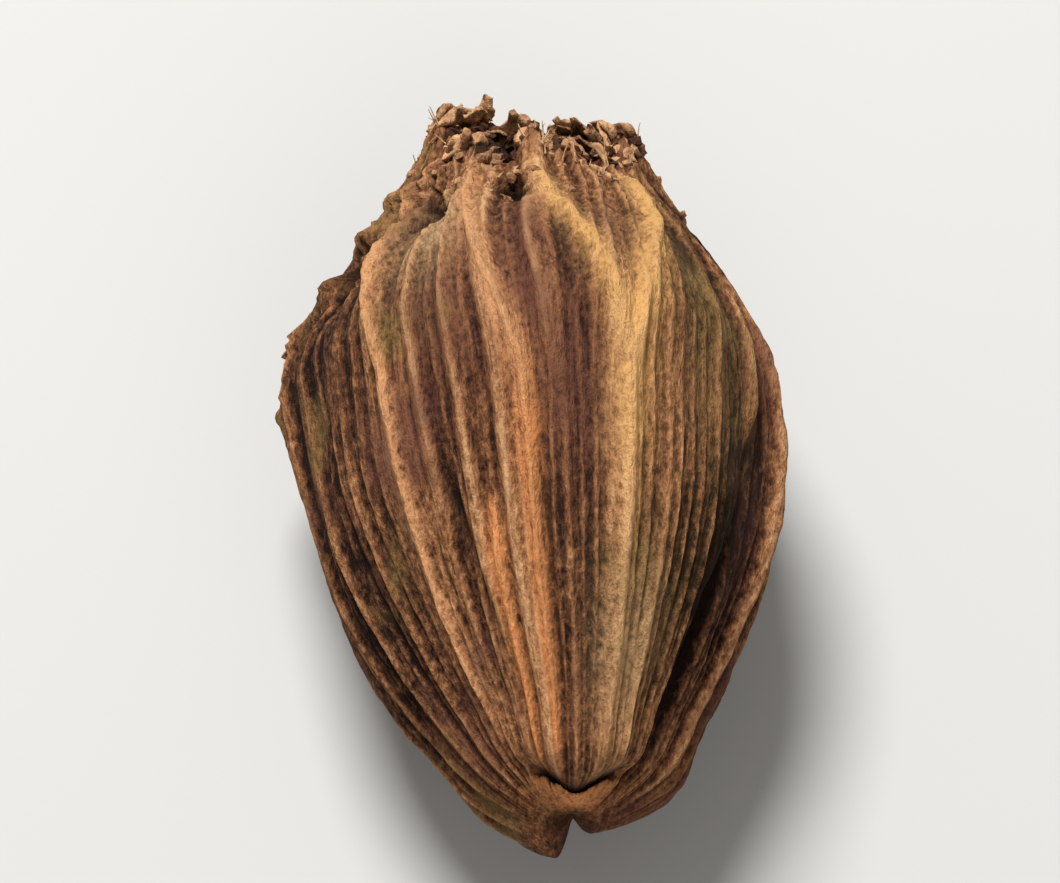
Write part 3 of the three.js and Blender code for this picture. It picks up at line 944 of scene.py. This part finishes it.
def plain_colour(tree, skin):
    relief = HEIGHT.least + HEIGHT.crest * stored(tree, "crest")
    grain = HEIGHT.fibres * skin.fibres + HEIGHT.specks * skin.specks + HEIGHT.warm * skin.warm
    # Painted shade: the underside is darkened, away from the lit upper side, and so are the painted shade
    # patches.
    dark = HEIGHT.underside_shade * (1 - stored(tree, "bleached")) + HEIGHT.dusk * stored(tree, "dusk")
    colour = ramp(relief + grain - dark, HEIGHT_STOPS)
    uneven = UNEVEN.mean + UNEVEN.specks * skin.specks + skin.fibres
    purple = TINT.share * step(*TINT.purple, skin.purple) + stored(tree, "purple")
    olive = TINT.share * step(*TINT.olive, skin.olive) + stored(tree, "olive")
    tints = {"purple": purple, "olive": olive, "straw": stored(tree, "straw")}
    for name, amount in tints.items():
        colour = mix(limit(amount * uneven, high=TINT.most), colour, COLOURS[name])
    return colour


def rubbed_colour(tree, skin, colour):
    rubbed = RUBBED.mean + RUBBED.specks * skin.specks + RUBBED.fibres * skin.fibres
    upper = step(*GLOW.end, skin.along)
    glowing = limit(GLOW.mean + GLOW.warm * skin.warm) * (1 - upper) * (rubbed + RUBBED.bold)
    pale = work_out("MAXIMUM", RUBBED.wing * stored(tree, "wing"), stored(tree, "band"))
    layers = [
        (stored(tree, "keel") * (rubbed + RUBBED.bold), "gold"),
        (stored(tree, "glow") * glowing, "orange"),
        (stored(tree, "glow") * upper * rubbed, "fawn"),
        (pale * rubbed, "fawn"),
        # Painted highlight on the lip's edge under the slit.
        (stored(tree, "lip") * (LIP.mean + LIP.specks * skin.specks), "orange"),
    ]
    for amount, name in layers:
        colour = mix(limit(amount, high=RUBBED.most), colour, COLOURS[name])
    # Painted shade: every recess is mixed towards near black.
    return mix(limit(MOST_DARK * stored(tree, "sunk")), colour, COLOURS["hollow"])


print("colours along a rib's side:", [name for place, name in HEIGHT_STOPS])

# %% [markdown]
# ## The husk's skin
# The skin is dry, so it is rough all over and has hardly any gloss. Bump adds only what is finer
# than the mesh: the fibres and the flakes of the skin.

# %% Skin of the husk
ROUGHNESS = SimpleNamespace(least=0.5, mean=0.78, specks=0.35, fibres=0.12)
BUMP_STRENGTH = 0.9
HUSK_GLOSS = 0.12
HUSK_BUMPS = SimpleNamespace(fibres=0.8, depth=0.45)


def finish_skin(skin, colour, roughness, gloss, bumps, depth):
    feed(skin.inputs["Base Color"], colour)
    feed(skin.inputs["Roughness"], limit(roughness, ROUGHNESS.least))
    skin.inputs["Specular IOR Level"].default_value = gloss
    feeds = {"Height": bumps, "Strength": BUMP_STRENGTH, "Distance": depth * MM}
    feed(skin.inputs["Normal"], result(bumps.tree, "ShaderNodeBump", feeds))


def husk_skin(name):
    material, skin, place = new_skin(name)
    pattern = husk_pattern(place)
    colour = rubbed_colour(place.tree, pattern, plain_colour(place.tree, pattern))
    roughness = ROUGHNESS.mean + ROUGHNESS.specks * pattern.specks - ROUGHNESS.fibres * pattern.fibres
    bumps = HUSK_BUMPS.fibres * pattern.fibres + pattern.specks
    finish_skin(skin, colour, roughness, HUSK_GLOSS, bumps, HUSK_BUMPS.depth)
    return material


print("the skin's roughness is about", ROUGHNESS.mean)

# %% Grow the husk
husk = grow("pod_husk", husk_tree("husk_rule", HUSK, husk_skin("husk_skin")), HUSK)

# %% [markdown]
# ## Which way the faces point
# A closed mesh whose faces point outwards holds a positive volume, so adding up the volume of a
# thin wedge under every triangle is a quick test.


# %% Test the faces
def volume(piece):
    points = [vertex.co for vertex in piece.data.vertices]
    corners = [[points[i] for i in triangle.vertices] for triangle in piece.data.loop_triangles]
    return sum(a.dot(b.cross(c)) for a, b, c in corners) / 6


print("husk volume in cubic mm:", round(volume(husk) / MM**3))

# %% [markdown]
# ## Random and crumpled
# What withers off the pod is scattered by chance. A random number needs a seed of its own, so that
# size and lean don't go together. Crumpling moves the points of finished geometry by noise, so no
# two copies of a shape stay alike.


# %% Vectors, random numbers and crumpling
def vectors(operation, first, second=(0.0, 0.0, 0.0)):
    return result(first.tree, "ShaderNodeVectorMath", {0: first, 1: second}, operation=operation)


def scaled(value, amount):
    return result(value.tree, "ShaderNodeVectorMath", {0: value, "Scale": amount}, operation="SCALE")


def chance(tree, low, high, seed):
    return result(tree, "FunctionNodeRandomValue", {2: low, 3: high, 8: seed}, 1, data_type="FLOAT")


def named(tree, name):
    return result(tree, "GeometryNodeInputNamedAttribute", {"Name": name}, data_type="FLOAT")


def crumple(mesh, amount, fold_width, seed):
    feeds = {"Vector": position(mesh.tree), "Scale": 1 / (fold_width * MM), "W": seed, "Detail": 3.0}
    bumps = result(mesh.tree, "ShaderNodeTexNoise", feeds, "Color", noise_dimensions="4D")
    offset = scaled(vectors("SUBTRACT", bumps, (0.5, 0.5, 0.5)), amount * MM)
    return result(mesh.tree, "GeometryNodeSetPosition", {"Geometry": mesh, "Offset": offset})


print("a random number is drawn for each point, the same on every run")

# %% [markdown]
# ## Withered shreds
# The flower's remains hang on the collar as short, crumpled flaps. One tapered flap is bent out of
# a cube, and set on every few points of the collar's rim, which the husk has marked. Each copy is
# turned and sized at random, and all of them are crumpled together once they are real geometry.

# %% One shred
FLAP = {"Size": (1.0, 1.0, 1.0), "Vertices X": 3, "Vertices Y": 6, "Vertices Z": 10}
ROOT_SHARE = 0.35
FLAP_CURL = 0.35
FLAP_NARROWING = 0.7
FLAP_POINTEDNESS = 1.6
FLAP_THINNING = 0.6


def flap(tree, size):
    cube = result(tree, "GeometryNodeMeshCube", FLAP)
    x, y, z = parts(position(tree))
    up = z + 0.5
    thick = size["Thickness"] * (1 - FLAP_THINNING * up)
    wide = size["Width"] * (1 - FLAP_NARROWING * up**FLAP_POINTEDNESS)
    curled = x * thick - FLAP_CURL * size["Length"] * up * up
    bent = scaled(vector(tree, curled, y * wide, size["Length"] * (up - ROOT_SHARE)), MM)
    return result(tree, "GeometryNodeSetPosition", {"Geometry": cube, "Position": bent})


print("a flap is sunk", round(100 * ROOT_SHARE), "percent of its length into the rim")


# %% Set the shreds on the rim
SIDEWAYS_LEAN = 0.6


def husk_mesh(tree, size):
    return result(tree, "GeometryNodeObjectInfo", {0: size["Husk"]}, "Geometry")


def rim_points(tree, size):
    index = result(tree, "GeometryNodeInputIndex")
    every = work_out("LESS_THAN", work_out("MODULO", index, size["Rim points to a shred"]), 1.0)
    feeds = {"Mesh": husk_mesh(tree, size), "Selection": named(tree, "rim") * every}
    return result(tree, "GeometryNodeMeshToPoints", feeds)


def shred_facing(points):
    tree = points.tree
    feeds = {"Geometry": points, "Attribute": position(tree)}
    middle = result(tree, "GeometryNodeAttributeStatistic", feeds, "Mean", data_type="FLOAT_VECTOR")
    outward = vectors("NORMALIZE", vectors("SUBTRACT", position(tree), middle))
    sideways = vectors("CROSS_PRODUCT", outward, (0.0, 1.0, 0.0))
    inward_lean = scaled(outward, chance(tree, -1.0, 0.1, 1))
    sideways_lean = scaled(sideways, chance(tree, -SIDEWAYS_LEAN, SIDEWAYS_LEAN, 2))
    upward = vectors("ADD", vectors("ADD", inward_lean, sideways_lean), (0.0, 1.0, 0.0))
    axes = {"primary_axis": "Z", "secondary_axis": "X"}
    return result(tree, "FunctionNodeAxesToRotation", {0: upward, 1: outward}, **axes)


def set_on(points, shape, rotation, size):
    feeds = {"Points": points, "Instance": shape, "Rotation": rotation, "Scale": size}
    return real(result(points.tree, "GeometryNodeInstanceOnPoints", feeds))


print("shreds lean up to", round(math.degrees(math.atan(SIDEWAYS_LEAN))), "degrees sideways")


# %% Join the shreds' tree
FOLD_WIDTH = 1.7
CREASE_WIDTH = 0.5


def shreds_tree(name, sizes, material):
    tree, size = new_tree(name, sizes)
    points = rim_points(tree, size)
    big = vector(tree, chance(tree, 0.7, 1.4, 3), chance(tree, 0.6, 1.3, 4), chance(tree, 0.5, 1.2, 5))
    shreds = set_on(points, flap(tree, size), shred_facing(points), big)
    folded = crumple(shreds, size["Crumple"], FOLD_WIDTH, size["Seed"])
    creased = crumple(folded, 0.5 * size["Crumple"], CREASE_WIDTH, size["Seed"])
    return end_tree(result(tree, "GeometryNodeSetShadeSmooth", {0: creased}), material)


print("folds", FOLD_WIDTH, "mm wide, with creases", CREASE_WIDTH, "mm wide on them")

# %% [markdown]
# ## The withered finish
# Shreds, crumbs and fibres are the same tissue as the husk with no ribs to follow, so their finish
# reads Object coordinates: dark and pale in blotches, and mottled at the size of a grain of sand.

# %% Withered skin
# Each noise as on the husk.
WITHERED_STREAKS = (0.33, 1.7, 5.0, 4.0, 0.65)
WITHERED_SPECKS = (0.42, 0.42, 6.0, 4.0, 0.68)
BLOTCHES = (2.4, 2.4, 7.0, 2.0, 0.5)
PALE_SHARE = SimpleNamespace(mean=0.45, mottle=1.6, blotches=2.0)
WITHERED = SimpleNamespace(roughness=0.8, specks=0.3, gloss=0.18, bump_depth=0.3)


def withered_skin(name, dark, light):
    material, skin, place = new_skin(name)
    specks = lumps(place, *WITHERED_SPECKS)
    mottle = lumps(place, *WITHERED_STREAKS) + specks
    share = PALE_SHARE.mean + PALE_SHARE.mottle * mottle + PALE_SHARE.blotches * lumps(place, *BLOTCHES)
    colour = mix(limit(share), COLOURS[dark], COLOURS[light])
    roughness = WITHERED.roughness + WITHERED.specks * specks
    finish_skin(skin, colour, roughness, WITHERED.gloss, mottle, WITHERED.bump_depth)
    return material


withered = withered_skin("withered_skin", "shade", "tan")
print("withered skin:", len(withered.node_tree.nodes), "nodes")

# %% Grow the shreds
SHREDS = {
    "Husk": husk,
    "Rim points to a shred": 9,
    "Length": 1.7,
    "Width": 1.4,
    "Thickness": 0.28,
    "Crumple": 1.1,
    "Seed": 7.0,
}
shreds = grow("pod_shreds", shreds_tree("shreds_rule", SHREDS, withered), SHREDS)

# %% [markdown]
# ## Crumbs of dried tissue
# Soft tissue between the ribs dries to crumbs near the flower end, and to coarser pith in the
# hollow of the collar, coloured darker than the crumbs as painted shade of that hollow. Points are
# scattered over the husk, thickly there and nowhere else, and each gets one small lump. A crumb is
# a few pixels across, so twenty faces are enough for it.


# %% Scatter the crumbs
def scatter(tree, size, number, where, seed):
    feeds = {"Mesh": husk_mesh(tree, size), "Density": number / MM**2 * named(tree, where), "Seed": seed}
    node = add_node(tree, "GeometryNodeDistributePointsOnFaces", feeds, distribute_method="RANDOM")
    return [Sum(socket) for socket in node.outputs]


def crumbs_tree(name, sizes, material, where):
    tree, size = new_tree(name, sizes)
    points, _, rotation = scatter(tree, size, size["Crumbs to a square mm"], where, 3)
    lump = result(tree, "GeometryNodeMeshIcoSphere", {"Radius": 0.5 * MM, "Subdivisions": 1})
    big = vector(tree, chance(tree, 0.5, 1.5, 1), chance(tree, 0.5, 2.2, 2), chance(tree, 0.3, 0.8, 3))
    crumbs = set_on(points, lump, rotation, scaled(big, size["Crumb"]))
    return end_tree(crumple(crumbs, size["Crumple"], CREASE_WIDTH, 11.0), material)


CRUMBS = {"Husk": husk, "Crumbs to a square mm": 3.0, "Crumb": 0.42, "Crumple": 0.45}
crumb_skin = withered_skin("crumb_skin", "shade", "tan")
crumbs = grow("pod_crumbs", crumbs_tree("crumbs_rule", CRUMBS, crumb_skin, "crumbly"), CRUMBS)

# %% Fill the hollow with pith
PITH = {"Husk": husk, "Crumbs to a square mm": 4.0, "Crumb": 0.7, "Crumple": 0.9}
# The pith's darker colours are painted shade of the collar's hollow.
pith_skin = withered_skin("pith_skin", "hollow", "shade")
pith = grow("pod_pith", crumbs_tree("pith_rule", PITH, pith_skin, "hollow"), PITH)

# %% [markdown]
# ## Loose fibres
# Where the collar has torn, single fibres stand away from the husk. Each is a short line that noise
# bends, swept with a thin four-sided profile that tapers to its tip.


# %% One fibre
FIBRE_TAPER = 0.7
FIBRE_BEND_WIDTH = 2.0


def fibre(tree, size):
    feeds = {"Direction": (0.0, 0.0, 1.0), "Length": size["Length"] * MM}
    line = result(tree, "GeometryNodeCurvePrimitiveLine", feeds, mode="DIRECTION")
    fine = result(tree, "GeometryNodeResampleCurve", {"Curve": line, "Count": 8})
    tip = result(tree, "GeometryNodeSplineParameter", output="Factor")
    return result(tree, "GeometryNodeSetCurveRadius", {"Curve": fine, "Radius": 1 - FIBRE_TAPER * tip})


def swept(line, thickness):
    tree = line.tree
    feeds = {"Resolution": 4, "Radius": 0.5 * MM * thickness}
    profile = result(tree, "GeometryNodeCurvePrimitiveCircle", feeds)
    feeds = {"Curve": line, "Profile Curve": profile, "Fill Caps": True}
    feeds["Scale"] = result(tree, "GeometryNodeInputRadius")
    return result(tree, "GeometryNodeCurveToMesh", feeds)


print("a fibre keeps", round(100 * (1 - FIBRE_TAPER)), "percent of its thickness at the tip")


# %% Grow the fibres
def fibres_tree(name, sizes, material):
    tree, size = new_tree(name, sizes)
    points, normal, _ = scatter(tree, size, size["Fibres to a square mm"], "frayed", 5)
    sway = vector(tree, chance(tree, -1.0, 1.0, 6), chance(tree, 1.0, 3.0, 7), chance(tree, -1.0, 1.0, 8))
    feeds = {"Vector": vectors("ADD", normal, sway)}
    facing = result(tree, "FunctionNodeAlignRotationToVector", feeds, axis="Z")
    fibres = set_on(points, fibre(tree, size), facing, chance(tree, 0.4, 1.3, 9))
    bent = crumple(fibres, size["Bend"], FIBRE_BEND_WIDTH, 13.0)
    return end_tree(swept(bent, size["Thickness"]), material)


FIBRES = {"Husk": husk, "Fibres to a square mm": 0.8, "Length": 1.0, "Thickness": 0.1, "Bend": 0.8}
fibre_skin = withered_skin("fibre_skin", "brown", "straw")
fibres = grow("pod_fibres", fibres_tree("fibres_rule", FIBRES, fibre_skin), FIBRES)

# %% [markdown]
# ## Hand the pieces to the frame
# Every piece moves with the pod's only body. Together they stand for the packed solid, which then
# isn't shown.

# %% Ride and replace
for piece in (husk, shreds, crumbs, pith, fibres):
    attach(piece, "root")
    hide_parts("pod")
    print(piece.name, "rides on root")

# %% [markdown]
# ## Floor
# The pod lies on a plain pale floor, wide enough that its edge is never seen.

# %% Lay the floor
FLOOR_HALF = 0.6
PAPER_ROUGHNESS = 0.85
corners = [(x * FLOOR_HALF, y * FLOOR_HALF, 0) for x, y in ((-1, -1), (1, -1), (1, 1), (-1, 1))]
floor_mesh = bpy.data.meshes.new("floor")
floor_mesh.from_pydata(corners, [], [(0, 1, 2, 3)])
paper = bpy.data.materials.new("pale_paper")
paper.use_nodes = True
paper.node_tree.nodes["Principled BSDF"].inputs["Base Color"].default_value = COLOURS["paper"]
paper.node_tree.nodes["Principled BSDF"].inputs["Roughness"].default_value = PAPER_ROUGHNESS
floor_mesh.materials.append(paper)
floor = bpy.data.objects.new("floor", floor_mesh)
bpy.context.scene.collection.objects.link(floor)
print("floor", 2 * FLOOR_HALF, "m wide")

# %% [markdown]
# ## Light
# One soft lamp stands high up behind the pod and a little to the left, so each rib has a lit side
# and a shaded one. A weak lamp in front and an even room light keep the shaded side readable.

# %% Lamps and room light
LAMPS = {
    "key": SimpleNamespace(place=(-0.1, 0.26, 0.48), size=0.24, power=4.8),
    "fill": SimpleNamespace(place=(0.1, -0.45, 0.25), size=0.5, power=0.9),
}
LIT_POINT = Vector((0, 0, 0.01))
ROOM = SimpleNamespace(colour=(1.0, 0.98, 0.95, 1), strength=0.28)
for name, lamp in LAMPS.items():
    light = bpy.data.lights.new(name, "AREA")
    light.shape = "DISK"
    light.size = lamp.size
    light.energy = lamp.power
    stand = bpy.data.objects.new(name, light)
    stand.location = lamp.place
    stand.rotation_euler = (LIT_POINT - Vector(lamp.place)).to_track_quat("-Z", "Y").to_euler()
    bpy.context.scene.collection.objects.link(stand)

world = bpy.data.worlds.new("room")
world.use_nodes = True
world.node_tree.nodes["Background"].inputs["Color"].default_value = ROOM.colour
world.node_tree.nodes["Background"].inputs["Strength"].default_value = ROOM.strength
bpy.context.scene.world = world
print("lamps:", list(LAMPS))

# %% [markdown]
# ## Camera
# The camera looks down on the broad upper side of the pod, from the scar's end. It stands well
# back behind a long lens, so that the near end isn't drawn larger than the far one.

# %% Camera
ELEVATION = math.radians(62)
DISTANCE = 0.4
FRAME_WIDTH = 0.047
eye = bpy.data.cameras.new("eye")
eye.lens = eye.sensor_width * DISTANCE / FRAME_WIDTH
camera = bpy.data.objects.new("eye", eye)
back = Vector((0, -math.cos(ELEVATION), math.sin(ELEVATION)))
camera.location = (cad_box[0] + cad_box[1]) / 2 + back * DISTANCE
camera.rotation_euler = (-back).to_track_quat("-Z", "Y").to_euler()
bpy.context.scene.collection.objects.link(camera)
bpy.context.scene.camera = camera
bpy.context.scene.view_settings.view_transform = "Standard"
print("lens of", round(eye.lens), "mm")
